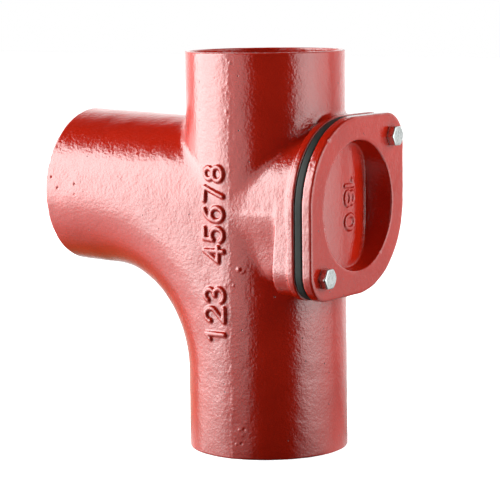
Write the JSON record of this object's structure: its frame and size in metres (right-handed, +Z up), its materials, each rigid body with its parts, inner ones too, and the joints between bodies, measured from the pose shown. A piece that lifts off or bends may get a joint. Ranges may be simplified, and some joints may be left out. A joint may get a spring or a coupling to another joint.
{
  "type": "soil pipe access branch",
  "caption": "Cast iron drainage branch: a straight run of pipe with a swept side branch and a bolted access door on a rubber gasket.",
  "frame": {"origin": "on the main pipe's axis, at its lower end face", "axes": "+Z up along the main pipe, +X out through the access door, so the branch leaves towards -X"},
  "size_m": [0.2337, 0.1206, 0.275],
  "materials": {
    "red_enamel": "thick gloss red-brown enamel over rough cast iron",
    "black_rubber": "matt, grey-black",
    "zinc_plate": "bright zinc plate"
  },
  "bodies": {
    "root": {"branch_body": "red_enamel", "access_cover": "red_enamel", "access_gasket": "black_rubber", "cover_bolt_lower": "zinc_plate", "cover_bolt_upper": "zinc_plate"}
  },
  "joints": []
}
